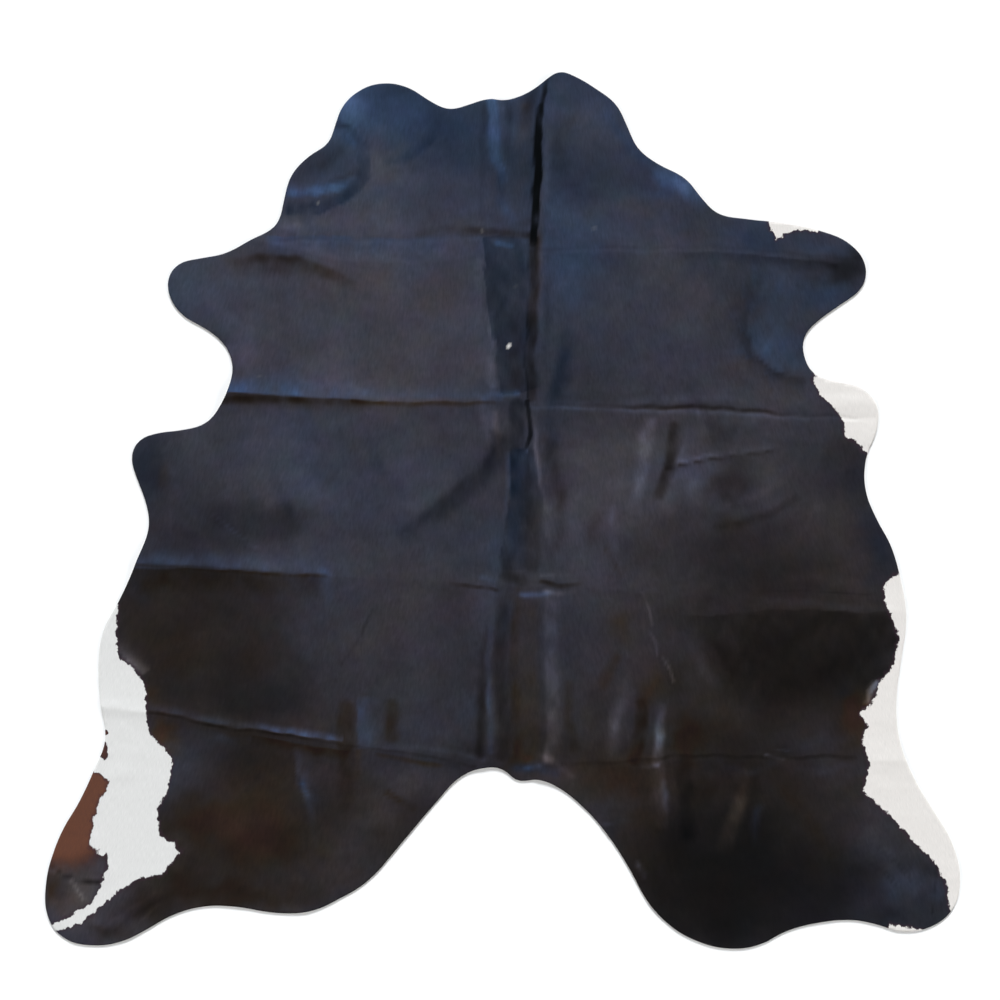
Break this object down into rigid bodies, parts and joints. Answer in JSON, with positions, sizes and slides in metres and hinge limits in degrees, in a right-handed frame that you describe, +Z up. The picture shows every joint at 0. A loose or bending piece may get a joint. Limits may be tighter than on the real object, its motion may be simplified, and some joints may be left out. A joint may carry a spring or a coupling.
{
  "type": "cowhide rug",
  "caption": "Flat hair-on cowhide rug in the hide's natural outline, with shipping creases, a pleat along the spine, a dark coat and white flank patches.",
  "frame": {"origin": "middle of the rug's box, on the floor", "axes": "+Z up, out of the hair side; +Y along the spine towards the neck; +X across the hide, towards the flank on the right of the picture"},
  "size_m": [2.1939, 2.102, 0.0168],
  "materials": {
    "hair_on_hide": "satin"
  },
  "bodies": {
    "root": {"hide": "hair_on_hide"}
  },
  "joints": []
}
